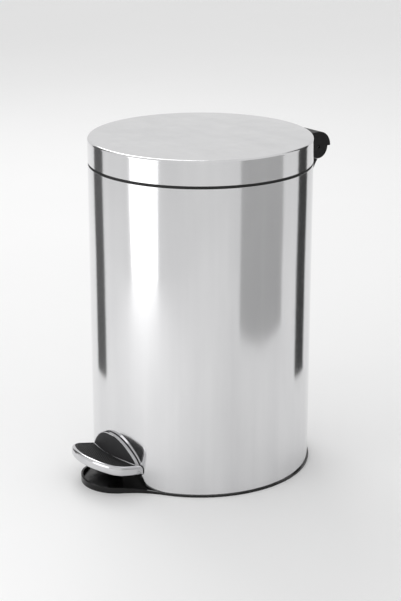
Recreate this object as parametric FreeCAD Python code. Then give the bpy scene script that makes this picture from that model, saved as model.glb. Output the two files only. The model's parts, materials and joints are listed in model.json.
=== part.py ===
import FreeCAD, Part
import math
import os

# Round pedal bin.  Millimetres, +Z up.  The origin is on the body's axis at the floor,
# the pedal points to -Y and the lid's hinge is at +Y.

# Body and lid
bin_height = 445.0
body_radius = 146.5
sheet = 0.6
lid_skirt = 32.0
lid_edge_radius = 3.2
lid_hem_height = 6.0
lid_hem = 1.4
band_height = 3.3
rim_fold = 3.2

# Base moulding with the foot lobe
base_plate = 2.6
base_lip = 1.8
lobe_centre = body_radius - 7.0
lobe_radius = 49.2
lobe_flare = 123.0
lobe_rim_height = 8.0
lobe_rim_wall = 2.5
lobe_rim_full = lobe_centre + 28.5
lobe_rim_out = lobe_centre - 17.5
ring_wall = 2.5
ring_wall_top = 26.0
ring_wall_gap = 0.5
post_radius = 5.5
post_circle = body_radius - 28.5
post_angles = (40.0, 140.0, 220.0, 320.0)
screw_radius = 2.0

# Floor pan
pan_height = 62.0
pan_sheet = 0.8
pan_flange = 10.0
pan_gap = 0.1
bush_radius = 4.9

# Front opening of the shell
opening_half_width = 52.0
opening_flare = 12.0
opening_top = 47.0

# Hinge
hinge_y = body_radius + 19.5
hinge_z = bin_height - 31.2
hinge_half_width = 46.0
cap_radius = 20.6
cap_wall = 4.2
cheek_radius = 15.5
cheek_wall = 4.5
flange_wall = 3.0
knuckle_radius = 14.0
hinge_pin_radius = 2.0
pin_recess = 2.4
tail_bottom = bin_height - 95.0
tail_end_wall = 1.6
lid_opening = 74.0
lid_rivet_angles = (-12.0, -5.0, 5.0, 12.0)
lid_rivet_rise = 12.3
rivet_head = 3.6
rivet_head_height = 1.2
hinge_screw_angles = (-10.0, 10.0)
hinge_screw_drops = (54.0, 77.0)
backing_top = bin_height - 46.0
backing_bottom = bin_height - 85.0
hinge_screw_length = 5.0
slot_half_width = 11.0

# Clearances
face_gap = 0.3
moving_gap = 0.5
running_gap = 0.05
hole_gap = 0.1
head_gap = 0.07

# Push rod and the lid's lift arm
rod_radius = 2.0
rod_y = hinge_y - 28.0
rod_bottom = 3.6
rod_bend = 4.0
arm_x = 5.0
arm_thickness = 2.0
arm_margin = 2.0
arm_plate = 1.5
arm_recess = 4.2
collar_radius = 4.2
collar_height = 2.4
collar_gap = 1.5
guide_z = 225.0
guide_angles = (-4.0, 4.0)

# Lever
pivot_y = 68.5 - body_radius
pivot_z = 20.0
axle_radius = 3.0
barrel_radius = 5.2
bar_half_width = 10.0
bar_thickness = 4.0
bar_bottom = 7.5
bar_end_half_width = 6.5
rod_slot_front = 0.5
rod_slot_back = 2.4
ear_wall = 4.4
ear_half_length = 8.0
ear_gap = 0.6

# Pedal
pedal_half_width = 53.4
pedal_front = body_radius + 49.0
pedal_side_end = body_radius + 3.5
pedal_corner = 23.0
pedal_nose = 85.0
pedal_depth = 13.0
pedal_slope = 13.5
tread_height = 36.0
pad_inset = 4.6
pad_thickness = 3.0
pedal_plate = 2.0
pedal_wall = 2.4
pedal_edge = 4.2
pedal_screw_ys = (-pedal_side_end - 13.0, -pedal_side_end - 28.0)
pad_screw_depth = 2.0
guard_gap = 1.4
guard_thickness = 4.4
guard_rim = 1.3
guard_pad_thickness = 2.0
guard_pad_proud = 0.4
guard_foot = 26.0
guard_top = 67.0
guard_crease = 0.9
guard_lip = 1.0

# Inner bucket
bucket_top_radius = body_radius - 7.5
bucket_bottom_radius = body_radius - 13.5
bucket_wall = 2.0
bucket_floor_gap = 2.5
bucket_rim_radius = body_radius - sheet
channel_half_width = 14.0
channel_y = body_radius - 24.5
bail_circle = body_radius - 4.5
bail_radius = 2.0
bail_bend = 3.5
lug_rise = 8.0

V = FreeCAD.Vector
AXIS_X = V(1, 0, 0)
AXIS_Z = V(0, 0, 1)
lid_bottom = bin_height - lid_skirt
shell_top = lid_bottom - band_height
inner_radius = body_radius - sheet
roof_z = hinge_z + cap_radius
lid_rivet_z = lid_bottom + lid_rivet_rise
rod_reach = hinge_y - rod_y
half_opening = lid_opening / 2.0
rod_drop = rod_reach * math.tan(math.radians(half_opening))
rod_stroke = 2.0 * rod_drop
rod_top = hinge_z - rod_drop
lever_turn = math.degrees(math.atan(rod_stroke / (rod_y - pivot_y)))
guard_inner = body_radius + guard_gap
guard_outer = guard_inner + guard_thickness
guard_recess = guard_outer - guard_pad_thickness
bail_z = lid_bottom - face_gap + bail_radius + 0.4
post_places = [(post_circle * math.cos(math.radians(a)), post_circle * math.sin(math.radians(a)))
               for a in post_angles]
hinge_screw_places = [(a, bin_height - drop) for drop in hinge_screw_drops for a in hinge_screw_angles]
lid_rivet_places = [(a, lid_rivet_z) for a in lid_rivet_angles]
guide_places = [(a, guide_z) for a in guide_angles]


# ---------------------------------------------------------------- helpers

def save(name, shape):
    shape.exportStep(os.path.join("parts", name + ".step"))
    print(name, "solids", len(shape.Solids), "valid", shape.isValid(), "volume", round(shape.Volume, 1))


def revolve(points):
    """Turn a closed (radius, z) outline about the body's axis."""
    corners = [V(r, 0, z) for r, z in points]
    face = Part.Face(Part.makePolygon(corners + [corners[0]]))
    return face.revolve(V(0, 0, 0), AXIS_Z, 360)


def tube(outer, inner, low, high):
    return revolve([(inner, low), (outer, low), (outer, high), (inner, high)])


def disc(radius, low, high, x=0.0, y=0.0):
    return Part.makeCylinder(radius, high - low, V(x, y, low), AXIS_Z)


def box(low, high):
    size = [high[i] - low[i] for i in range(3)]
    return Part.makeBox(size[0], size[1], size[2], V(*low))


def bar_x(radius, y, z, left, right):
    return Part.makeCylinder(radius, right - left, V(left, y, z), AXIS_X)


def radial(radius, start, end, angle, z):
    """A round bar along a radius; the angle is counted from +Y towards +X."""
    turn = math.radians(angle)
    out = V(math.sin(turn), math.cos(turn), 0)
    return Part.makeCylinder(radius, end - start, out * start + V(0, 0, z), out)


def screw_holes(places, start, end):
    """Radial cutters for screws and rivets at (angle, z) places."""
    return Part.makeCompound([radial(screw_radius + hole_gap, start, end, a, z) for a, z in places])


def side_plate(outline, left, right):
    """Extrude a closed (y, z) outline along X."""
    corners = [V(left, y, z) for y, z in outline]
    face = Part.Face(Part.makePolygon(corners + [corners[0]]))
    return face.extrude(V(right - left, 0, 0))


def sector(outer, inner, low, high, half_angle):
    """Part of a tube about the body's axis, centred on +Y."""
    corners = [V(r, 0, z) for r, z in ((inner, low), (outer, low), (outer, high), (inner, high), (inner, low))]
    solid = Part.Face(Part.makePolygon(corners)).revolve(V(0, 0, 0), AXIS_Z, 2 * half_angle)
    solid.rotate(V(0, 0, 0), AXIS_Z, 90 - half_angle)
    return solid


def fuse_all(shapes):
    return shapes[0].multiFuse(shapes[1:]).removeSplitter()


def from_hinge(radius, angle):
    """A (y, z) point about the hinge axis; 0 degrees points to the back, 90 up."""
    turn = math.radians(angle)
    return (hinge_y + radius * math.cos(turn), hinge_z + radius * math.sin(turn))


# ---------------------------------------------------------------- lid

def lid_cover():
    top = bin_height
    edge = lid_edge_radius
    bend = edge - sheet
    cut = 1 - math.sqrt(0.5)
    outer_arc = Part.Arc(V(body_radius - edge, 0, top), V(body_radius - edge * cut, 0, top - edge * cut),
                         V(body_radius, 0, top - edge)).toShape()
    inner_arc = Part.Arc(V(inner_radius, 0, top - edge), V(inner_radius - bend * cut, 0, top - sheet - bend * cut),
                         V(inner_radius - bend, 0, top - sheet)).toShape()
    hem_top = lid_bottom + lid_hem_height
    skirt = [V(body_radius, 0, top - edge), V(body_radius, 0, lid_bottom), V(body_radius - lid_hem, 0, lid_bottom),
             V(body_radius - lid_hem, 0, hem_top), V(inner_radius, 0, hem_top), V(inner_radius, 0, top - edge)]
    under = [V(inner_radius - bend, 0, top - sheet), V(0, 0, top - sheet), V(0, 0, top), V(body_radius - edge, 0, top)]
    edges = [outer_arc] + Part.makePolygon(skirt).Edges + [inner_arc] + Part.makePolygon(under).Edges
    lid = Part.Face(Part.Wire(edges)).revolve(V(0, 0, 0), AXIS_Z, 360)
    return lid.cut(screw_holes(lid_rivet_places, inner_radius - 5, body_radius + 5))


def cheek_outline():
    """Side wall of the hinge cap: roof, rounded back, and a round lower half about the pin."""
    points = [(hinge_y - 40.0, roof_z), (hinge_y, roof_z)]
    points += [from_hinge(cap_radius, a) for a in range(84, -1, -6)]
    points += [from_hinge(cheek_radius, a) for a in range(0, -181, -6)]
    points.append((hinge_y - 40.0, hinge_z))
    return points


def lid_hinge_cap():
    inside = cap_radius - cap_wall
    roof = [(hinge_y - 40.0, roof_z), (hinge_y, roof_z)]
    roof += [from_hinge(cap_radius, a) for a in range(84, -1, -6)]
    roof += [from_hinge(inside, a) for a in range(0, 91, 6)]
    roof.append((hinge_y - 40.0, hinge_z + inside))
    cover = side_plate(roof, -hinge_half_width, hinge_half_width)
    right = side_plate(cheek_outline(), hinge_half_width - cheek_wall, hinge_half_width)
    left = side_plate(cheek_outline(), -hinge_half_width, -hinge_half_width + cheek_wall)
    flange_face = body_radius + face_gap + flange_wall
    flange = tube(flange_face, body_radius - 8, lid_bottom + 2.0, roof_z)
    flange = flange.common(box((-hinge_half_width, 0, lid_bottom), (hinge_half_width, 200, bin_height)))
    cap = fuse_all([cover, right, left, flange])
    cap = cap.cut(disc(body_radius + face_gap, lid_bottom - 40, bin_height + 5))
    cap = cap.cut(bar_x(hinge_pin_radius + hole_gap, hinge_y, hinge_z, -60, 60))
    heads = [radial(rivet_head + 0.4, flange_face, flange_face + 9, a, z) for a, z in lid_rivet_places]
    cap = cap.cut(screw_holes(lid_rivet_places, inner_radius - 5, body_radius + 8))
    return cap.cut(Part.makeCompound(heads))


def slot_mismatch():
    """The most that the rod's even travel strays from the arm's own radius, across the slot."""
    worst = 0.0
    for step in range(0, 101):
        share = step / 50.0 - 1.0
        angle = math.radians(half_opening * share)
        stray = abs(rod_drop * share - rod_reach * math.tan(angle)) * math.cos(angle)
        worst = max(worst, stray)
    return worst


slot_half = rod_radius + slot_mismatch() + moving_gap
slot_start = rod_reach - 0.4
slot_end = rod_reach / math.cos(math.radians(half_opening)) + 0.4
arm_reach = slot_end + slot_half + arm_margin
arm_pocket = rod_reach + slot_half + arm_margin + 2.0


def along_arm(reach, across):
    """A (y, z) point of the lift arm at rest: reach is from the hinge axis, across is upwards."""
    turn = math.radians(half_opening)
    y = hinge_y - reach * math.cos(turn) - across * math.sin(turn)
    z = hinge_z - reach * math.sin(turn) + across * math.cos(turn)
    return (y, z)


def stadium(half, left, right):
    """A round-ended bar along the arm's slot, from left to right."""
    corners = [along_arm(slot_start, -half), along_arm(slot_end, -half),
               along_arm(slot_end, half), along_arm(slot_start, half)]
    ends = [bar_x(half, along_arm(r, 0)[0], along_arm(r, 0)[1], left, right) for r in (slot_start, slot_end)]
    return fuse_all([side_plate(corners, left, right)] + ends)


def lid_lift_bracket():
    plate_outer = inner_radius - face_gap
    plate_inner = plate_outer - arm_plate
    plate_low = lid_bottom + lid_hem_height + 0.8
    plate = sector(plate_outer, plate_inner, plate_low, lid_bottom + 20.0, 16.0)
    neck = side_plate([(plate_inner + 0.4, lid_bottom + 19.0), (plate_inner + 0.4, lid_bottom - 6.0),
                       along_arm(slot_start + 1.0, slot_half + 1.0), along_arm(slot_end, slot_half + arm_margin),
                       (plate_inner - 11.0, lid_bottom - 2.0), (plate_inner - 8.0, lid_bottom + 19.0)],
                      arm_x, arm_x + arm_thickness)
    eye = stadium(slot_half + arm_margin, arm_x, arm_x + arm_thickness)
    bracket = fuse_all([plate, neck, eye])
    bracket = bracket.cut(stadium(slot_half, arm_x - 1, arm_x + arm_thickness + 1))
    return bracket.cut(screw_holes(lid_rivet_places, inner_radius - 9, body_radius + 5))


def lid_rivets():
    inside = inner_radius - face_gap - arm_plate
    outside = body_radius + face_gap + flange_wall
    rivets = []
    for angle, z in lid_rivet_places:
        shank = radial(screw_radius, inside - rivet_head_height, outside + rivet_head_height, angle, z)
        inner_head = radial(rivet_head, inside - rivet_head_height, inside - head_gap, angle, z)
        outer_head = radial(rivet_head, outside, outside + rivet_head_height, angle, z)
        rivets.append(fuse_all([shank, inner_head, outer_head]))
    return Part.makeCompound(rivets)


def hinge_pin():
    reach = hinge_half_width - pin_recess
    return bar_x(hinge_pin_radius, hinge_y, hinge_z, -reach, reach)


# ---------------------------------------------------------------- fixed half of the hinge

def body_hinge_bracket():
    clear = cheek_radius + moving_gap
    start = (hinge_y - 2.0, hinge_z - math.sqrt(clear ** 2 - 4.0))
    end = (body_radius + tail_end_wall, tail_bottom)
    arc = Part.Arc(V(0, start[0], start[1]), V(0, start[0] - 9.0, start[1] - 15.5), V(0, end[0], end[1])).toShape()
    back = [(p.y, p.z) for p in arc.discretize(14)]
    top = shell_top - 0.7
    base = [(hinge_y - 60.0, top), (start[0], top)] + back + [(hinge_y - 60.0, tail_bottom)]
    solid = side_plate(base, -hinge_half_width, hinge_half_width)
    solid = solid.cut(bar_x(clear, hinge_y, hinge_z, -60, 60))
    core = hinge_half_width - cheek_wall - moving_gap
    knuckle = bar_x(knuckle_radius, hinge_y, hinge_z, -core, core)
    web = side_plate([(hinge_y - 30.0, top), (hinge_y - 30.0, top - 14.0), (hinge_y - 3.0, top - 14.0),
                      (hinge_y - 3.0, top)], -core, core)
    solid = fuse_all([solid, knuckle, web])
    solid = solid.cut(disc(body_radius + hole_gap, 300, shell_top))
    solid = solid.cut(bar_x(hinge_pin_radius + running_gap, hinge_y, hinge_z, -60, 60))
    recess = box((-slot_half_width, 100, hinge_z - arm_pocket), (slot_half_width, body_radius + arm_recess, shell_top))
    solid = solid.cut(recess)
    return solid.cut(screw_holes(hinge_screw_places, body_radius - 5, body_radius + hinge_screw_length))


def hinge_backing_plate():
    outer = inner_radius - 0.1
    plate = sector(outer, outer - arm_plate, backing_bottom, backing_top, 15.0)
    plate = plate.cut(box((-slot_half_width, 100, hinge_z - arm_pocket), (slot_half_width, 160, bin_height)))
    return plate.cut(screw_holes(hinge_screw_places, outer - 5, outer + 5))


def hinge_screws():
    seat = inner_radius - 0.1 - arm_plate
    screws = []
    for angle, z in hinge_screw_places:
        shank = radial(screw_radius, seat - 1, body_radius + hinge_screw_length - 0.4, angle, z)
        head = radial(3.5, seat - 2.2, seat - head_gap, angle, z)
        screws.append(fuse_all([shank, head]))
    return Part.makeCompound(screws)


# ---------------------------------------------------------------- shell and floor

def opening_cutter():
    """Arch over the pedal's lever, flared at its two feet."""
    side = opening_half_width + 1.0
    foot = opening_half_width + opening_flare
    low = base_plate - 1.0
    knee = base_plate + 14.0
    right = Part.Arc(V(foot, 0, low), V(side + 3.0, 0, base_plate + 4.0), V(side, 0, knee)).toShape()
    crown = Part.Arc(V(side, 0, knee), V(0, 0, opening_top), V(-side, 0, knee)).toShape()
    left = Part.Arc(V(-side, 0, knee), V(-side - 3.0, 0, base_plate + 4.0), V(-foot, 0, low)).toShape()
    closing = Part.LineSegment(V(-foot, 0, low), V(foot, 0, low)).toShape()
    return Part.Face(Part.Wire([right, crown, left, closing])).extrude(V(0, -200, 0))


def body_shell():
    shell = tube(body_radius, inner_radius, base_plate, shell_top)
    fold = tube(body_radius, body_radius - rim_fold, shell_top - rim_fold, shell_top)
    shell = fuse_all([shell, fold])
    shell = shell.cut(opening_cutter())
    notch = box((-slot_half_width, 100, hinge_z - arm_pocket), (slot_half_width, 160, shell_top + 5))
    shell = shell.cut(notch)
    shell = shell.cut(screw_holes(hinge_screw_places, inner_radius - 5, body_radius + 5))
    return shell.cut(screw_holes(guide_places, inner_radius - 5, body_radius + 5))


def floor_pan():
    outer = inner_radius - pan_gap
    pan = disc(outer, pan_height, pan_height + pan_sheet)
    flange = tube(outer, outer - pan_sheet, pan_height - pan_flange, pan_height + pan_sheet)
    pan = fuse_all([pan, flange])
    holes = [disc(screw_radius + hole_gap, 0, 200, x, y) for x, y in post_places]
    holes.append(disc(bush_radius + hole_gap, 0, 200, 0, rod_y))
    return pan.cut(Part.makeCompound(holes))


def pan_screws():
    screws = []
    top = pan_height + pan_sheet
    for x, y in post_places:
        shank = disc(screw_radius, top - 14, top + 1, x, y)
        head = disc(3.8, top, top + 1.8, x, y)
        screws.append(fuse_all([shank, head]))
    return Part.makeCompound(screws)


def rod_bush():
    top = pan_height + pan_sheet
    neck = disc(bush_radius, pan_height - 1.0, top + 0.5, 0, rod_y)
    flange = disc(bush_radius + 1.6, top, top + 1.2, 0, rod_y)
    return fuse_all([neck, flange]).cut(disc(rod_radius + face_gap, 0, 200, 0, rod_y))


def rod_guide():
    outer = inner_radius - 0.1
    foot = sector(outer, outer - 1.2, guide_z - 7, guide_z + 7, 6.0)
    shelf = box((-7.0, rod_y - 5.5, guide_z - 7), (7.0, outer - 0.9, guide_z - 5.5))
    guide = fuse_all([foot, shelf]).cut(disc(rod_radius + face_gap, 100, 300, 0, rod_y))
    return guide.cut(screw_holes(guide_places, outer - 5, outer + 5))


def guide_rivets():
    seat = inner_radius - 0.1 - 1.2
    rivets = []
    for angle, z in guide_places:
        shank = radial(screw_radius, seat - 0.8, body_radius + 0.8, angle, z)
        inner_head = radial(3.0, seat - 0.8, seat - head_gap, angle, z)
        outer_head = radial(3.2, body_radius, body_radius + 0.9, angle, z)
        rivets.append(fuse_all([shank, inner_head, outer_head]))
    return Part.makeCompound(rivets)


# ---------------------------------------------------------------- base moulding

def lobe_face(inset):
    """Plan of the foot lobe: a nose arc with a flare on each side that runs out on the ring."""
    ring = body_radius + base_lip - inset
    nose = lobe_radius - inset
    flare = lobe_flare + inset
    span = ring + flare
    cosine = (span ** 2 + lobe_centre ** 2 - (nose + flare) ** 2) / (2 * lobe_centre * span)
    centre = V(span * math.sqrt(1 - cosine ** 2), -span * cosine, 0)
    on_ring = centre * (ring / span)
    away = (centre + V(0, lobe_centre, 0)).normalize()
    on_nose = V(0, -lobe_centre, 0) + away * nose
    inward = ((on_ring + on_nose) * 0.5 - centre).normalize()
    on_flare = centre + inward * flare
    mirror = [V(-p.x, p.y, 0) for p in (on_ring, on_flare, on_nose)]
    tip = V(0, -lobe_centre - nose, 0)
    edges = [Part.Arc(on_ring, on_flare, on_nose).toShape(), Part.Arc(on_nose, tip, mirror[2]).toShape(),
             Part.Arc(mirror[2], mirror[1], mirror[0]).toShape()]
    edges += Part.makePolygon([mirror[0], V(0, -40, 0), on_ring]).Edges
    return Part.Face(Part.Wire(edges))


def pivot_ears():
    start = bar_half_width + ear_gap
    ears = []
    for side in (1, -1):
        low = min(side * start, side * (start + ear_wall))
        ears.append(box((low, pivot_y - ear_half_length, base_plate - 0.5),
                        (low + ear_wall, pivot_y + ear_half_length, pivot_z)))
        ears.append(bar_x(ear_half_length, pivot_y, pivot_z, low, low + ear_wall))
    return ears


def base_moulding():
    ring = body_radius + base_lip
    plate = disc(ring, 0, base_plate).fuse(lobe_face(0).extrude(V(0, 0, base_plate)))
    rim = lobe_face(0).extrude(V(0, 0, lobe_rim_height))
    hollow = lobe_face(lobe_rim_wall).extrude(V(0, 0, lobe_rim_height))
    rim = rim.cut(hollow).cut(disc(body_radius + 0.2, -1, lobe_rim_height + 1))
    taper = side_plate([(-lobe_rim_full, lobe_rim_height), (-lobe_rim_out, base_plate - 0.2), (-lobe_rim_out, 20),
                        (-lobe_rim_full, 20)], -120, 120)
    rim = rim.cut(taper).cut(box((-120, -lobe_rim_out, 0), (120, 0, 20)))
    wall_outer = inner_radius - ring_wall_gap
    wall = tube(wall_outer, wall_outer - ring_wall, base_plate - 0.5, ring_wall_top)
    front_gap = bar_half_width + 6
    wall = wall.cut(box((-front_gap, -200, base_plate), (front_gap, 0, ring_wall_top + 5)))
    wall = wall.cut(box((-slot_half_width, 0, base_plate), (slot_half_width, 200, ring_wall_top + 5)))
    posts = [disc(post_radius, base_plate - 0.5, pan_height, x, y) for x, y in post_places]
    base = fuse_all([plate, rim, wall] + posts + pivot_ears())
    holes = [disc(screw_radius + hole_gap, pan_height - 14, pan_height + 5, x, y) for x, y in post_places]
    base = base.cut(Part.makeCompound(holes))
    return base.cut(bar_x(axle_radius + running_gap, pivot_y, pivot_z, -40, 40))


# ---------------------------------------------------------------- pedal and lever

def tread_z(y):
    """Height of the tread's top face under its slope."""
    return tread_height + (-pedal_side_end - y) * math.tan(math.radians(pedal_slope))


def pedal_outline(inset):
    """Plan of the pedal: straight sides, rounded corners and a full front arc, all tangent."""
    width = pedal_half_width - inset
    corner = pedal_corner - inset
    nose = pedal_nose - inset
    corner_x = pedal_half_width - pedal_corner
    rise = math.sqrt((pedal_nose - pedal_corner) ** 2 - corner_x ** 2)
    nose_y = -pedal_front + pedal_nose
    corner_y = nose_y - rise
    towards = V(corner_x, -rise, 0).normalize()
    side = V(width, corner_y, 0)
    meet = V(corner_x, corner_y, 0) + towards * corner
    halfway = (towards + V(1, 0, 0)).normalize()
    bend = V(corner_x, corner_y, 0) + halfway * corner
    tip = V(0, nose_y - nose, 0)
    other = [V(-p.x, p.y, 0) for p in (side, bend, meet)]
    back = -pedal_side_end + 30.0
    arcs = [Part.Arc(side, bend, meet).toShape(), Part.Arc(meet, tip, other[2]).toShape(),
            Part.Arc(other[2], other[1], other[0]).toShape()]
    sides = Part.makePolygon([other[0], V(-width, back, 0), V(width, back, 0), side])
    return Part.Face(Part.Wire(arcs + sides.Edges))


def tilted_slab(under_top, thickness):
    """A wide slab that follows the tread's slope; under_top is how far its top is below the tread."""
    slab = Part.makeBox(200, 200, thickness, V(-100, -100, -under_top - thickness))
    slab.rotate(V(0, 0, 0), AXIS_X, -pedal_slope)
    slab.translate(V(0, -pedal_side_end, tread_height))
    return slab


def pedal_block(inset, under_top, thickness):
    column = pedal_outline(inset).extrude(V(0, 0, 120))
    return column.common(tilted_slab(under_top, thickness))


def guard_face(inset):
    """Upright outline of the toe guard, a rounded triangle."""
    half = [(50.0, guard_foot), (48.8, 32.5), (44.5, 41.0), (36.0, 51.0), (24.0, 60.5), (11.0, 65.8)]
    right = []
    for x, z in half:
        sideways = inset * (0.9 if z < 60 else 0.5)
        down = inset * (0 if z < 40 else 0.6)
        right.append(V(x - sideways, 0, z - down))
    left = [V(-p.x, 0, p.z) for p in reversed(right)]
    curve = Part.BSplineCurve()
    curve.interpolate(Points=right + [V(0, 0, guard_top - inset)] + left)
    closing = Part.LineSegment(left[-1], right[0]).toShape()
    return Part.Face(Part.Wire([curve.toShape(), closing]))


def guard_block(inset, inner, outer):
    column = guard_face(inset).extrude(V(0, -200, 0))
    return column.common(tube(outer, inner, 0, 120))


def outer_edges(block):
    """The long edges round the top and bottom of the pedal block, without its back."""
    kept = []
    for edge in block.Edges:
        room = edge.BoundBox
        upright = room.ZLength > 4.0 and room.XLength < 0.1 and room.YLength < 5.0
        rear = room.YMin > -140.0
        if not (upright or rear):
            kept.append(edge)
    return kept


def pedal_screw_bars(radius, reach):
    """Round bars square to the tread; reach is how far they rise above the underside of the pad."""
    turn = math.radians(pedal_slope)
    up = V(0, math.sin(turn), math.cos(turn))
    bars = []
    for y in pedal_screw_ys:
        foot = V(0, y, tread_z(y)) - up * (pad_thickness + 20.0)
        bars.append(Part.makeCylinder(radius, 20.0 + reach, foot, up))
    return Part.makeCompound(bars)


def pedal_shell():
    block = pedal_block(0, -1.0, pedal_depth)
    block = block.makeFillet(pedal_edge, outer_edges(block))
    block = block.cut(disc(guard_inner, 0, 120))
    shell = fuse_all([block, guard_block(0, guard_inner, guard_outer)])
    recess = pedal_block(pad_inset - 0.2, -guard_lip, guard_lip + pad_thickness)
    shell = shell.cut(recess.cut(disc(guard_outer + guard_crease, 0, 120)))
    above = box((-80, -200, tread_z(-guard_outer) + guard_lip + 0.1), (80, -100, 120))
    shell = shell.cut(guard_block(guard_rim, guard_recess, guard_outer + 30).common(above))
    hollow = pedal_block(pedal_wall, pad_thickness + pedal_plate, pedal_depth)
    shell = shell.cut(hollow.cut(disc(guard_inner + pedal_wall, 0, 120)))
    plate_under = tread_z(-pedal_side_end) - pad_thickness - pedal_plate
    lever_room = box((-bar_half_width - 1, -pedal_side_end - 3, 10), (bar_half_width + 1, -130, plate_under))
    return shell.cut(lever_room).cut(pedal_screw_bars(2.3, pad_screw_depth))


def tread_pad():
    pad = pedal_block(pad_inset, 0, pad_thickness)
    pad = pad.cut(disc(guard_outer + 1.0, 0, 120))
    return pad.cut(pedal_screw_bars(2.3, pad_screw_depth))


def guard_pad():
    pad = guard_block(guard_rim + 0.15, guard_recess + 0.1, guard_outer + guard_pad_proud)
    return pad.common(box((-80, -200, tread_z(-guard_outer) + guard_lip + 0.3), (80, -100, 120)))


def pedal_screws():
    turn = math.radians(pedal_slope)
    up = V(0, math.sin(turn), math.cos(turn))
    screws = []
    for y in pedal_screw_ys:
        bar_under = V(0, y, tread_z(y)) - up * (pad_thickness + pedal_plate + bar_thickness)
        shank = Part.makeCylinder(2.2, pedal_plate + bar_thickness + 1.5, bar_under, up)
        head = Part.makeCylinder(4.2, 2.6, bar_under - up * 2.6, up)
        screws.append(fuse_all([shank, head]))
    return Part.makeCompound(screws)


lever_end = rod_y + rod_slot_back + rod_radius + moving_gap + 1.8


def bar_line():
    """The (y, z) outline of the bent flat bar, over its top to the front and back below."""
    slant = math.cos(math.radians(pedal_slope))
    drop = (pad_thickness + pedal_plate) / slant
    front = -pedal_front + 8.0
    rise = 10.5 - body_radius
    top = bar_bottom + bar_thickness
    upper = [(lever_end, top), (pivot_y - 14.0, top), (rise, tread_z(rise) - drop), (front, tread_z(front) - drop)]
    lower = [(y, z - bar_thickness / slant) for y, z in reversed(upper[2:])]
    return upper + lower + [(pivot_y - 12.0, bar_bottom), (lever_end, bar_bottom)]


def pedal_lever():
    bar = side_plate(bar_line(), -bar_half_width, bar_half_width)
    wide = box((-30, rod_y - 20, 0), (30, rod_y + 20, 30))
    bar = bar.cut(wide.cut(box((-bar_end_half_width, rod_y - 20, 0), (bar_end_half_width, rod_y + 20, 30))))
    barrel = bar_x(barrel_radius, pivot_y, pivot_z, -bar_half_width, bar_half_width)
    saddle = box((-bar_half_width, pivot_y - 4, bar_bottom + 1), (bar_half_width, pivot_y + 4, pivot_z))
    lever = fuse_all([bar, barrel, saddle])
    lever = lever.cut(bar_x(axle_radius + running_gap, pivot_y, pivot_z, -40, 40))
    half = rod_radius + moving_gap
    slot = box((-half, rod_y - rod_slot_front, 0), (half, rod_y + rod_slot_back, 30))
    ends = [disc(half, 0, 30, 0, y) for y in (rod_y - rod_slot_front, rod_y + rod_slot_back)]
    lever = lever.cut(Part.makeCompound([slot] + ends))
    return lever.cut(pedal_screw_bars(2.3, pad_screw_depth))


def lever_axle():
    reach = bar_half_width + ear_gap + ear_wall + 2.6
    return bar_x(axle_radius, pivot_y, pivot_z, -reach, reach)


def axle_clips():
    start = bar_half_width + ear_gap + ear_wall + 0.3
    clips = []
    for side in (1, -1):
        low = min(side * start, side * (start + 1.2))
        clip = bar_x(axle_radius + 2.2, pivot_y, pivot_z, low, low + 1.2)
        clips.append(clip.cut(bar_x(axle_radius + 0.02, pivot_y, pivot_z, low - 1, low + 3)))
    return Part.makeCompound(clips)


# ---------------------------------------------------------------- push rod

def push_rod():
    end = arm_x + arm_thickness + 2.8
    turn = rod_bend * (1 - math.sqrt(0.5))
    bend = Part.Arc(V(0, rod_y, rod_top - rod_bend), V(turn, rod_y, rod_top - turn), V(rod_bend, rod_y, rod_top))
    path = Part.Wire([
        Part.LineSegment(V(0, rod_y, rod_bottom), V(0, rod_y, rod_top - rod_bend)).toShape(),
        bend.toShape(),
        Part.LineSegment(V(rod_bend, rod_y, rod_top), V(end, rod_y, rod_top)).toShape()])
    ring = Part.Wire(Part.makeCircle(rod_radius, V(0, rod_y, rod_bottom), AXIS_Z))
    return path.makePipeShell([ring], True, False)


def rod_collars():
    upper_low = bar_bottom + bar_thickness + collar_gap
    upper = disc(collar_radius, upper_low, upper_low + collar_height, 0, rod_y)
    lower = disc(collar_radius, bar_bottom - collar_gap - 1.8, bar_bottom - collar_gap, 0, rod_y)
    hole = disc(rod_radius + 0.02, 0, 100, 0, rod_y)
    return Part.makeCompound([upper.cut(hole), lower.cut(hole)])


def rod_clip():
    low = arm_x + arm_thickness + 0.6
    clip = bar_x(slot_half + 1.6, rod_y, rod_top, low, low + 1.2)
    return clip.cut(bar_x(rod_radius + 0.02, rod_y, rod_top, low - 1, low + 3))


# ---------------------------------------------------------------- inner bucket

def bucket_cone(inset, low, high):
    """The tapered bucket body with its rear channel, shrunk by inset."""
    bottom_z = pan_height + pan_sheet + bucket_floor_gap
    slope = (bucket_top_radius - bucket_bottom_radius) / (shell_top - bottom_z)
    r_low = bucket_bottom_radius + slope * (low - bottom_z) - inset
    r_high = bucket_bottom_radius + slope * (high - bottom_z) - inset
    cone = Part.makeCone(r_low, r_high, high - low, V(0, 0, low), AXIS_Z)
    half = channel_half_width + inset
    return cone.cut(box((-half, channel_y - inset, low - 1), (half, 200, high + 1)))


def inner_bucket():
    low = pan_height + pan_sheet + bucket_floor_gap
    rim_low = shell_top + 0.2
    rim_high = lid_bottom - face_gap
    rim = disc(bucket_rim_radius, rim_low, rim_high)
    rim = rim.cut(box((-channel_half_width, channel_y, 0), (channel_half_width, 200, 500)))
    bucket = fuse_all([bucket_cone(0, low, rim_high), rim])
    bucket = bucket.cut(bucket_cone(bucket_wall, low + bucket_wall, rim_high + 1))
    lugs = []
    for side in (1, -1):
        near = min(side * (bucket_top_radius - 8.0), side * (bucket_top_radius - 1.4))
        lugs.append(box((near, -5.5, rim_low), (near + 6.6, 5.5, rim_high + lug_rise)))
    bucket = fuse_all([bucket] + lugs)
    return bucket.cut(bar_x(bail_radius + running_gap, 0, bail_z, -bail_circle, bail_circle))


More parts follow.
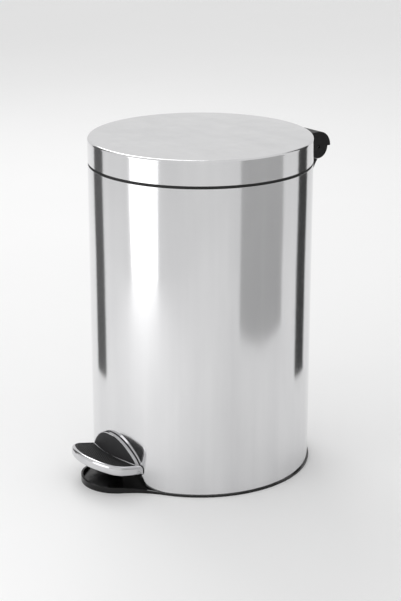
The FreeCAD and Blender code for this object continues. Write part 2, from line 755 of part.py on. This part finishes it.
def bucket_bail():
    """Wire handle that lies on the bucket's rim, with its ends turned in through the lugs."""
    inner_end = bucket_top_radius - 9.5
    right = V(math.sqrt(bail_circle ** 2 - bail_bend ** 2), -bail_bend, 0)
    left = V(-right.x, right.y, 0)
    centre = V(right.x - bail_bend, -bail_bend, 0)
    shift = bail_bend * math.sqrt(0.5)
    edges = [
        Part.LineSegment(V(inner_end, 0, 0), V(centre.x, 0, 0)).toShape(),
        Part.Arc(V(centre.x, 0, 0), centre + V(shift, shift, 0), right).toShape(),
        Part.Arc(right, V(0, -bail_circle, 0), left).toShape(),
        Part.Arc(left, V(-centre.x - shift, centre.y + shift, 0), V(-centre.x, 0, 0)).toShape(),
        Part.LineSegment(V(-centre.x, 0, 0), V(-inner_end, 0, 0)).toShape()]
    ring = Part.Wire(Part.makeCircle(bail_radius, V(inner_end, 0, 0), AXIS_X))
    bail = Part.Wire(edges).makePipeShell([ring], True, False)
    bail.translate(V(0, 0, bail_z))
    return bail


# ---------------------------------------------------------------- build

os.makedirs("parts", exist_ok=True)
print("rod stroke", round(rod_stroke, 3), "lever turn", round(lever_turn, 3), "rod top", round(rod_top, 3))
print("slot half width", round(slot_half, 3), "arm reach", round(arm_reach, 3), "bail height", round(bail_z, 3))

for make in (lid_cover, lid_hinge_cap, lid_lift_bracket, lid_rivets, hinge_pin, body_hinge_bracket,
             hinge_backing_plate, hinge_screws, body_shell, floor_pan, pan_screws, rod_bush, rod_guide,
             guide_rivets, base_moulding, pedal_lever, lever_axle, axle_clips, pedal_shell, tread_pad,
             guard_pad, pedal_screws, push_rod, rod_collars, rod_clip, inner_bucket, bucket_bail):
    save(make.__name__, make())
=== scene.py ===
"""Pedal bin: finished surfaces, materials, light and camera, built on the shared frame."""
import json
import math

import bmesh
import bpy
from mathutils import Matrix, Vector
from mathutils.bvhtree import BVHTree


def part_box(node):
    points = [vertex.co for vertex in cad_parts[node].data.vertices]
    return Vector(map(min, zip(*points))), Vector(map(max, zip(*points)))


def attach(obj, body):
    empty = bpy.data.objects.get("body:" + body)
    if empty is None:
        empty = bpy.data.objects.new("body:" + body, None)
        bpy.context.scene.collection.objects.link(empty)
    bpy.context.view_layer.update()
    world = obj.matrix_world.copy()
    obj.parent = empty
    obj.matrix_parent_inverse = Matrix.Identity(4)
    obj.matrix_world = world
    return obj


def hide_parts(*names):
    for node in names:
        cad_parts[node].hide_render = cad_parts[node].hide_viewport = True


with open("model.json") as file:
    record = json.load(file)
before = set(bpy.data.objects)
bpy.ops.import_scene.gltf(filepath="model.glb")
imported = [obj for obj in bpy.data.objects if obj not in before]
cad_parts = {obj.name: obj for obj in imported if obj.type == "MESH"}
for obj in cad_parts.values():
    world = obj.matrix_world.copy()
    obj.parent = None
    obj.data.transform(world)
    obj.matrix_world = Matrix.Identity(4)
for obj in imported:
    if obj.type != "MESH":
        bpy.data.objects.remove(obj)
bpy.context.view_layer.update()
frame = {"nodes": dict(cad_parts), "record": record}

MM = 0.001
UP = Vector((0, 0, 1))
COLUMNS = 240

# Sizes that the frame's boxes don't give, in metres
SHEET = 0.6 * MM
LID_EDGE = 3.2 * MM
RIM_FOLD = 3.2 * MM
HEM = 1.4 * MM
HEM_HEIGHT = 6.0 * MM
ARCH_SIDE = 53.0 * MM
ARCH_FOOT = 64.0 * MM
ARCH_KNEE = 14.0 * MM
ARCH_TOP = 47.0 * MM
NOTCH_HALF = 11.0 * MM
NOTCH_DEPTH = 31.5 * MM
TREAD_SLOPE = math.radians(13.5)
STUD_PITCH = 3.4 * MM
STUD_RADIUS = 1.15 * MM
STUD_HEIGHT = 0.45 * MM
STUD_MARGIN = 2.6 * MM
RIVET_RADIUS = 3.1 * MM
RIVET_HEIGHT = 0.85 * MM
RIVET_SEAT = 0.1 * MM
RIVET_FROM_SIDE = 3.2 * MM
BRIM = 0.4 * MM
TANGENT_RUN = 0.8 * MM
TOP_ROLL = 0.5 * MM
WELD = 0.003 * MM
FINE_WELD = 0.002 * MM
FLAT_ANGLE = math.radians(0.4)
EDGE_ANGLE = math.radians(35)

# View and studio
VIEW_ANGLE = math.radians(51.5)
CAMERA_REACH = 2.0239
CAMERA_HEIGHT = 0.8884
CAMERA_TILT = math.radians(18.29)
CAMERA_LENS = 95.46
WORLD_LIGHT = 0.80

shell_low, shell_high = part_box("body_shell")
lid_low, lid_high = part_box("lid_cover")
radius = shell_high.x
body_of_node = {n: body for body, nodes in frame["record"]["behaviour"]["bodies"].items() for n in nodes}
slot_of_node = {s["node"]: s["material_slot"] for s in frame["record"]["subparts"]}


# ---------------------------------------------------------------- shader graphs

class Wire:
    """A shader socket that can be added, multiplied and taken from a number."""

    def __init__(self, graph, socket):
        self.graph = graph
        self.socket = socket

    def __add__(self, other):
        return self.graph.math("ADD", self, other)

    def __rsub__(self, other):
        return self.graph.math("SUBTRACT", other, self)

    def __mul__(self, other):
        return self.graph.math("MULTIPLY", self, other)

    __radd__ = __add__
    __rmul__ = __mul__


class Graph:
    """One node tree; every node goes through node(): its kind, its settings, then its inputs."""

    def __init__(self, tree):
        self.tree = tree
        tree.nodes.clear()

    def node(self, kind, settings=None, inputs=None):
        made = self.tree.nodes.new(kind)
        for name, value in (settings or {}).items():
            setattr(made, name, value)
        for name, value in (inputs or {}).items():
            if isinstance(value, Wire):
                self.tree.links.new(value.socket, made.inputs[name])
            else:
                made.inputs[name].default_value = value
        return made

    def wire(self, kind, settings=None, inputs=None, output=0):
        return Wire(self, self.node(kind, settings, inputs).outputs[output])

    def math(self, operation, first, second=0.0):
        return self.wire("ShaderNodeMath", {"operation": operation}, {0: first, 1: second})

    def place(self):
        """Object coordinates as x, y and z."""
        split = self.node("ShaderNodeSeparateXYZ", None,
                          {0: self.wire("ShaderNodeTexCoord", None, None, "Object")})
        return [Wire(self, split.outputs[i]) for i in range(3)]

    def noise(self, x, y, z, detail=2.0):
        vector = self.wire("ShaderNodeCombineXYZ", None, {0: x, 1: y, 2: z})
        return self.wire("ShaderNodeTexNoise", None, {"Vector": vector, "Scale": 1.0, "Detail": detail})

    def ramp(self, value, low, high):
        """0 below low, 1 above high, smooth between."""
        return self.wire("ShaderNodeMapRange", {"interpolation_type": "SMOOTHSTEP"},
                         {"Value": value, "From Min": low, "From Max": high})

    def blend(self, factor, first, second):
        return self.wire("ShaderNodeMix", {"data_type": "RGBA"},
                         {0: factor, 6: (*first, 1), 7: (*second, 1)}, 2)

    def bump(self, height):
        """A normal from a height in metres."""
        return self.wire("ShaderNodeBump", None, {"Strength": 1.0, "Distance": 1.0, "Height": height})

    def principled(self, inputs):
        shader = self.wire("ShaderNodeBsdfPrincipled", None, inputs)
        self.node("ShaderNodeOutputMaterial", None, {"Surface": shader})


def new_graph(name):
    material = bpy.data.materials.new(name)
    material.use_nodes = True
    return material, Graph(material.node_tree)


def polished_steel():
    """Bright rolled sheet: faint upright grain, and long waves that are stronger near the foot."""
    material, g = new_graph("polished_steel")
    x, y, z = g.place()
    grain = g.noise(x * 900, y * 900, z * 12, 3.0)
    streak = g.noise(x * 46, y * 46, z * 1.2, 3.0)
    rolled = g.noise(x * 5, y * 34, z * 6, 3.0)
    foot = 1.0 - g.ramp(z, 0.03, 0.27)
    waves = g.noise(x * 15 + 3.0, y * 15, z * 4.5, 1.0)
    flames = g.noise(x * 42, y * 42 + 7.0, z * 9.0, 2.0) * foot
    height = waves * 0.00016 + flames * 0.00022 + streak * 0.00002
    g.principled({
        "Base Color": g.blend(streak * 0.5 + rolled * 0.5, (0.62, 0.62, 0.632), (0.86, 0.86, 0.865)),
        "Metallic": 1.0,
        "Roughness": grain * 0.05 + streak * 0.05 + 0.075,
        "Normal": g.bump(height)})
    return material


def chrome():
    material, g = new_graph("chrome")
    x, y, z = g.place()
    haze = g.noise(x * 60, y * 60, z * 60, 2.0)
    ripple = g.noise(x * 70, y * 70, z * 260, 2.0)
    g.principled({
        "Base Color": g.blend(haze, (0.55, 0.55, 0.565), (0.74, 0.74, 0.75)),
        "Metallic": 1.0,
        "Roughness": haze * 0.08 + 0.10,
        "Normal": g.bump(ripple * 0.00025)})
    return material


def zinc_steel():
    material, g = new_graph("zinc_steel")
    x, y, z = g.place()
    mottle = g.noise(x * 140, y * 140, z * 140, 4.0)
    g.principled({
        "Base Color": g.blend(mottle, (0.42, 0.43, 0.45), (0.62, 0.62, 0.62)),
        "Metallic": 1.0,
        "Roughness": mottle * 0.2 + 0.28,
        "Normal": g.bump(mottle * 0.00001)})
    return material


def moulded(name, dark, light, roughness, spread, grain_depth, grain_scale, coat=0.0, shine=0.5):
    """A moulded plastic or rubber: soft tone change, uneven gloss and a fine surface grain."""
    material, g = new_graph(name)
    x, y, z = g.place()
    tone = g.noise(x * 25, y * 25, z * 25, 3.0)
    grain = g.noise(x * grain_scale, y * grain_scale, z * grain_scale, 2.0)
    g.principled({
        "Base Color": g.blend(tone, dark, light),
        "Roughness": tone * spread + roughness,
        "Coat Weight": tone * 0.2 * coat + coat * 0.8,
        "Coat Roughness": 0.08,
        "Specular IOR Level": shine,
        "Normal": g.bump(grain * grain_depth)})
    return material


materials = {
    "polished_steel": polished_steel(),
    "chrome": chrome(),
    "zinc_steel": zinc_steel(),
    "black_gloss": moulded(
        "black_gloss", (0.004,) * 3, (0.008,) * 3, 0.16, 0.1, 0.00002, 160, 0.1, 0.3),
    "black_satin": moulded(
        "black_satin", (0.006,) * 3, (0.012,) * 3, 0.42, 0.12, 0.00002, 1500, 0.0, 0.25),
    "tread_rubber": moulded(
        "tread_rubber", (0.010, 0.010, 0.011), (0.022, 0.022, 0.023), 0.50, 0.2, 0.00012, 800, 0.0, 0.4),
    "guard_plastic": moulded(
        "guard_plastic", (0.022, 0.022, 0.023), (0.040, 0.040, 0.042), 0.55, 0.12, 0.00012, 900, 0.0, 0.3),
    "bucket_plastic": moulded(
        "bucket_plastic", (0.003,) * 3, (0.006,) * 3, 0.60, 0.15, 0.00002, 900),
}


# ---------------------------------------------------------------- meshes

def finish_mesh(name, bm, sharp_angle=30.0):
    """A smooth-shaded object whose edges above the angle stay sharp."""
    bmesh.ops.recalc_face_normals(bm, faces=bm.faces)
    for face in bm.faces:
        face.smooth = True
    for edge in bm.edges:
        edge.smooth = edge.calc_face_angle(math.pi) < math.radians(sharp_angle)
    mesh = bpy.data.meshes.new(name)
    bm.to_mesh(mesh)
    bm.free()
    obj = bpy.data.objects.new(name, mesh)
    bpy.context.scene.collection.objects.link(obj)
    return obj


def stand_for(obj, node):
    """obj takes over a CAD node: its body, its slot and its material."""
    obj.data.materials.clear()
    obj.data.materials.append(materials[slot_of_node[node]])
    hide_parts(node)
    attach(obj, body_of_node[node])
    return obj


def round_edges(obj, width):
    modifier = obj.modifiers.new("edge", "BEVEL")
    modifier.width = width
    modifier.segments = 3
    modifier.limit_method = "ANGLE"
    modifier.angle_limit = EDGE_ANGLE
    modifier.miter_outer = "MITER_ARC"
    modifier.harden_normals = True


def refined(node, edge=0.0):
    """A welded, smooth-shaded copy of a CAD node's mesh, with its sharp edges rounded."""
    source = frame["nodes"][node]
    bm = bmesh.new()
    bm.from_mesh(source.data)
    bm.transform(source.matrix_world)
    bmesh.ops.remove_doubles(bm, verts=bm.verts, dist=WELD)
    bmesh.ops.dissolve_limit(bm, angle_limit=FLAT_ANGLE, verts=bm.verts, edges=bm.edges)
    obj = finish_mesh(node + "_finish", bm)
    if edge:
        round_edges(obj, edge)
    return stand_for(obj, node)


def turned(name, profile_at, angles, closed):
    """Skin of profiles set round the axis; profile_at(angle) gives (radius, z) from outside to inside."""
    bm = bmesh.new()
    rings = []
    for angle in angles:
        turn = Matrix.Rotation(angle, 3, "Z")
        rings.append([bm.verts.new(turn @ Vector((r, 0, z))) for r, z in profile_at(angle)])
    count = len(rings[0])
    for i, ring in enumerate(rings):
        after = rings[(i + 1) % len(rings)]
        for j in range(count if closed else count - 1):
            k = (j + 1) % count
            bm.faces.new((ring[j], after[j], after[k], ring[k]))
    bmesh.ops.remove_doubles(bm, verts=bm.verts, dist=FINE_WELD)
    bmesh.ops.dissolve_degenerate(bm, dist=FINE_WELD, edges=bm.edges)
    return finish_mesh(name, bm)


def quarter(radius_mid, z_mid, size, start, end, steps=8):
    """Points of a rounded edge, from one angle to another in degrees."""
    turns = [math.radians(start + (end - start) * i / steps) for i in range(steps + 1)]
    return [(radius_mid + size * math.cos(t), z_mid + size * math.sin(t)) for t in turns]


def arch_bottom(across):
    """Height of the shell's bottom edge at a distance across from the middle of the front."""
    foot = shell_low.z
    knee = foot + ARCH_KNEE
    if across >= ARCH_FOOT:
        return foot
    if across >= ARCH_SIDE:
        share = (ARCH_FOOT - across) / (ARCH_FOOT - ARCH_SIDE)
        return foot + ARCH_KNEE * share ** 2.4
    rise = ARCH_TOP - knee
    crown = (ARCH_SIDE ** 2 + rise ** 2) / (2 * rise)
    return ARCH_TOP - crown + math.sqrt(crown ** 2 - across ** 2)


def shell_profile(angle):
    x, y = radius * math.cos(angle), radius * math.sin(angle)
    foot = arch_bottom(abs(x)) if y < 0 else shell_low.z
    in_notch = y > 0 and abs(x) < NOTCH_HALF
    top = shell_high.z - (NOTCH_DEPTH if in_notch else 0)
    inside = radius - SHEET
    fold = inside if in_notch else radius - RIM_FOLD
    outer = [(radius, foot), (radius, foot + 0.3 * (top - foot)), (radius, foot + 0.7 * (top - foot))]
    roll = TOP_ROLL
    lip = [(radius, top)] * 6 if in_notch else quarter(radius - roll, top - roll, roll, 0, 90, 5)
    fold_low = top if in_notch else top - RIM_FOLD
    return outer + lip + [(fold, top), (fold, fold_low), (inside, fold_low), (inside, foot)]


def shell_angles():
    """Even columns, with close pairs at the feet of the arch and the sides of the rear notch."""
    angles = [2 * math.pi * i / COLUMNS for i in range(COLUMNS)]
    front, rear = -math.pi / 2, math.pi / 2
    for across in (ARCH_SIDE, ARCH_FOOT, NOTCH_HALF):
        turn = math.asin(across / radius)
        middle = rear if across == NOTCH_HALF else front
        for side in (-1, 1):
            angles += [(middle + side * turn + step * 0.0004) % (2 * math.pi) for step in (-1, 1)]
    for step in range(1, 12):
        turn = math.asin((ARCH_SIDE + (ARCH_FOOT - ARCH_SIDE) * step / 12) / radius)
        angles += [(front + side * turn) % (2 * math.pi) for side in (-1, 1)]
    return sorted(angles)


def lid_profile(angle):
    top, low = lid_high.z, lid_low.z
    inside = radius - SHEET
    bend = LID_EDGE - SHEET
    hem = radius - HEM
    hem_top = low + HEM_HEIGHT
    wall_top = top - LID_EDGE - TANGENT_RUN
    outer = [(radius, low + BRIM), (radius, low + 3 * BRIM), (radius, wall_top)]
    outer += quarter(radius - LID_EDGE, top - LID_EDGE, LID_EDGE, 0, 90, 10)
    outer += [(radius - LID_EDGE - TANGENT_RUN, top), (radius * 0.6, top), (radius * 0.3, top), (0, top)]
    under = [(0, top - SHEET), (radius * 0.6, top - SHEET), (inside - bend - TANGENT_RUN, top - SHEET)]
    under += quarter(inside - bend, top - LID_EDGE, bend, 90, 0, 6)
    return outer + under + [(inside, hem_top), (hem, hem_top), (hem, low), (radius - BRIM, low)]


even_angles = [2 * math.pi * i / COLUMNS for i in range(COLUMNS)]
stand_for(turned("shell_finish", shell_profile, shell_angles(), True), "body_shell")
stand_for(turned("lid_finish", lid_profile, even_angles, True), "lid_cover")

# Widths of the rounded edges
EDGES = {"base_moulding": 0.5 * MM, "lid_hinge_cap": 0.6 * MM, "body_hinge_bracket": 0.6 * MM,
         "tread_pad": 0.5 * MM, "guard_pad": 0.6 * MM, "inner_bucket": 0.5 * MM, "pedal_shell": 0.3 * MM,
         "pedal_lever": 0.5 * MM}
for node in frame["nodes"]:
    if node not in ("body_shell", "lid_cover", "guide_rivets"):
        refined(node, EDGES.get(node, 0.0))


# ---------------------------------------------------------------- repeated small pieces

def instance_tree():
    """Puts a piece on every point, its Z along the point's own direction."""
    tree = bpy.data.node_groups.new("pieces on points", "GeometryNodeTree")
    face = tree.interface
    face.new_socket("Geometry", in_out="INPUT", socket_type="NodeSocketGeometry")
    face.new_socket("Piece", in_out="INPUT", socket_type="NodeSocketObject")
    face.new_socket("Size", in_out="INPUT", socket_type="NodeSocketFloat")
    face.new_socket("Finish", in_out="INPUT", socket_type="NodeSocketMaterial")
    face.new_socket("Geometry", in_out="OUTPUT", socket_type="NodeSocketGeometry")
    g = Graph(tree)
    given = g.node("NodeGroupInput")
    points, piece, size, finish = [Wire(g, given.outputs[i]) for i in range(4)]
    direction = g.wire("GeometryNodeInputNamedAttribute", {"data_type": "FLOAT_VECTOR"},
                       {"Name": "direction"})
    turn = g.wire("FunctionNodeAlignRotationToVector", {"axis": "Z"}, {"Vector": direction})
    shape = g.wire("GeometryNodeObjectInfo", None, {"Object": piece}, "Geometry")
    placed = g.wire("GeometryNodeInstanceOnPoints", None,
                    {"Points": points, "Instance": shape, "Rotation": turn, "Scale": size})
    solid = g.wire("GeometryNodeRealizeInstances", None, {"Geometry": placed})
    coloured = g.wire("GeometryNodeSetMaterial", None, {"Geometry": solid, "Material": finish})
    g.node("NodeGroupOutput", None, {"Geometry": coloured})
    return tree


def dome(name, base, height, sides, bands):
    """A closed low dome that stands on its own origin, sunk a little so that it joins its seat."""
    bm = bmesh.new()
    rings = []
    for band in range(bands):
        turn = 0.5 * math.pi * band / bands
        r, z = base * math.cos(turn), height * math.sin(turn)
        rings.append([bm.verts.new((r * math.cos(a), r * math.sin(a), z))
                      for a in (2 * math.pi * i / sides for i in range(sides))])
    tip = bm.verts.new((0, 0, height))
    root = [bm.verts.new((v.co.x, v.co.y, -0.3 * height)) for v in rings[0]]
    for low, high in zip([root] + rings[:-1], rings):
        for i in range(sides):
            k = (i + 1) % sides
            bm.faces.new((low[i], low[k], high[k], high[i]))
    for i in range(sides):
        bm.faces.new((rings[-1][i], rings[-1][(i + 1) % sides], tip))
    bm.faces.new(list(reversed(root)))
    return finish_mesh(name, bm, 60.0)


pieces_on_points = instance_tree()


def repeat(name, piece, places, material):
    """One plain mesh of the piece at each (point, direction), made with the node tree."""
    mesh = bpy.data.meshes.new(name)
    mesh.from_pydata([p for p, _ in places], [], [])
    attribute = mesh.attributes.new("direction", "FLOAT_VECTOR", "POINT")
    attribute.data.foreach_set("vector", [c for _, d in places for c in d])
    holder = bpy.data.objects.new(name + "_points", mesh)
    bpy.context.scene.collection.objects.link(holder)
    modifier = holder.modifiers.new("pieces", "NODES")
    modifier.node_group = pieces_on_points
    sockets = {s.name: s.identifier for s in pieces_on_points.interface.items_tree if s.in_out == "INPUT"}
    modifier[sockets["Piece"]] = piece
    modifier[sockets["Size"]] = 1.0
    modifier[sockets["Finish"]] = material
    bpy.context.view_layer.update()
    evaluated = holder.evaluated_get(bpy.context.evaluated_depsgraph_get())
    baked = bpy.data.meshes.new_from_object(evaluated)
    obj = bpy.data.objects.new(name, baked)
    bpy.context.scene.collection.objects.link(obj)
    bpy.data.objects.remove(holder)
    bpy.data.objects.remove(piece)
    return obj


def tread_places():
    """A close diamond grid on the tread, kept clear of the pad's edge."""
    pad = frame["nodes"]["tread_pad"]
    low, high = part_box("tread_pad")
    surface = BVHTree.FromPolygons([pad.matrix_world @ v.co for v in pad.data.vertices],
                                   [list(p.vertices) for p in pad.data.polygons])
    normal = Vector((0, math.sin(TREAD_SLOPE), math.cos(TREAD_SLOPE)))
    along = Vector((0, -math.cos(TREAD_SLOPE), math.sin(TREAD_SLOPE)))
    front = Vector((0, low.y, high.z))

    def on_top(point):
        hit = surface.ray_cast(point + UP * 0.01, -UP, 0.02)
        return hit[0] is not None and hit[1].dot(normal) > 0.99

    steps = ((1, 0), (-1, 0), (0, 1), (0, -1), (0, 0))
    around_it = [Vector((STUD_MARGIN * i, STUD_MARGIN * j, 0)) for i, j in steps]
    places = []
    rows = int((high.y - low.y) / STUD_PITCH * 2) + 4
    across = int(high.x / STUD_PITCH) + 1
    for row in range(rows):
        for column in range(-across, across + 1):
            shift = 0.5 if row % 2 else 0.0
            sideways = Vector(((column + shift) * STUD_PITCH, 0, 0))
            point = front - along * (row * STUD_PITCH * 0.5) + sideways
            if all(on_top(point + step) for step in around_it):
                places.append((point, normal))
    return places


studs = repeat("tread_studs", dome("stud", STUD_RADIUS, STUD_HEIGHT, 8, 2), tread_places(),
               materials["tread_rubber"])
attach(studs, body_of_node["tread_pad"])

rivet_low, rivet_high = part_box("guide_rivets")
rivet_z = (rivet_low.z + rivet_high.z) / 2
rivet_turn = math.asin((rivet_high.x - RIVET_FROM_SIDE) / radius)
rivet_places = []
for side in (-1, 1):
    out = Vector((side * math.sin(rivet_turn), math.cos(rivet_turn), 0))
    rivet_places.append((out * (radius - RIVET_SEAT) + UP * rivet_z, out))
rivet_head = dome("rivet", RIVET_RADIUS, RIVET_HEIGHT, 24, 5)
rivets = repeat("guide_rivet_heads", rivet_head, rivet_places, materials["zinc_steel"])
stand_for(rivets, "guide_rivets")

for node, obj in frame["nodes"].items():
    for held in obj.material_slots:
        held.material = materials[slot_of_node[node]]


# ---------------------------------------------------------------- studio

def panel(name, corners):
    bm = bmesh.new()
    bm.faces.new([bm.verts.new(c) for c in corners])
    return finish_mesh(name, bm)


def floor():
    material, g = new_graph("pale_floor")
    x, y, z = g.place()
    cloud = g.noise(x * 3, y * 3, z, 2.0)
    g.principled({"Base Color": g.blend(cloud, (0.93, 0.93, 0.93), (0.95, 0.95, 0.95)), "Roughness": 0.7})
    obj = panel("floor", [(-6, -6, 0), (6, -6, 0), (6, 6, 0), (-6, 6, 0)])
    obj.data.materials.append(material)


def around(turn, reach, height):
    """A place round the bin, turned in degrees from the side the camera is on."""
    angle = VIEW_ANGLE + math.radians(turn)
    return Vector((reach * math.sin(angle), -reach * math.cos(angle), height))


def soft_box(name, place, width, height, power):
    light = bpy.data.lights.new(name, "AREA")
    light.shape = "RECTANGLE"
    light.size, light.size_y = width, height
    light.energy = power
    obj = bpy.data.objects.new(name, light)
    obj.location = place
    obj.rotation_euler = (Vector((0, 0, 0.2)) - place).to_track_quat("-Z", "Y").to_euler()
    bpy.context.scene.collection.objects.link(obj)


def card(name, turn, reach, width, height, tone):
    """A plain upright card that shows only in reflections, so it blocks no view and marks no floor."""
    foot = around(turn, reach, 0.0)
    across = foot.cross(UP).normalized() * (width / 2)
    material, g = new_graph(name)
    x, y, z = g.place()
    paper = g.noise(x * 4, y * 4, z * 4, 2.0)
    g.principled({"Base Color": g.blend(paper, (tone * 0.95,) * 3, (tone,) * 3), "Roughness": 0.9})
    rise = UP * height
    obj = panel(name, [foot - across, foot + across, foot + across + rise, foot - across + rise])
    obj.visible_camera = obj.visible_diffuse = obj.visible_shadow = False
    obj.data.materials.append(material)


# Turns in degrees, distances and sizes in metres, powers in watts
floor()
soft_box("key", around(-55, 0.9, 0.4), 0.5, 0.8, 1.5)
soft_box("top", around(-160, 1.8, 2.0), 1.2, 1.2, 12)
card("grey_card", 60, 0.7, 0.6, 0.8, 0.5)
card("dark_card_right", 110, 0.45, 0.15, 0.8, 0.05)
card("dark_card_left", -110, 0.45, 0.15, 0.8, 0.15)

world = bpy.data.worlds.new("studio")
world.use_nodes = True
sky = Graph(world.node_tree)
sky.node("ShaderNodeOutputWorld", None, {
    "Surface": sky.wire("ShaderNodeBackground", None, {"Color": (1, 1, 1, 1), "Strength": WORLD_LIGHT})})
bpy.context.scene.world = world
bpy.context.scene.view_settings.view_transform = "Standard"

camera = bpy.data.cameras.new("camera")
camera.sensor_fit = "VERTICAL"
camera.sensor_height = 36.0
camera.lens = CAMERA_LENS
view = bpy.data.objects.new("camera", camera)
view.location = (CAMERA_REACH * math.sin(VIEW_ANGLE), -CAMERA_REACH * math.cos(VIEW_ANGLE), CAMERA_HEIGHT)
view.rotation_euler = (math.pi / 2 - CAMERA_TILT, 0, VIEW_ANGLE)
bpy.context.scene.collection.objects.link(view)
bpy.context.scene.camera = view
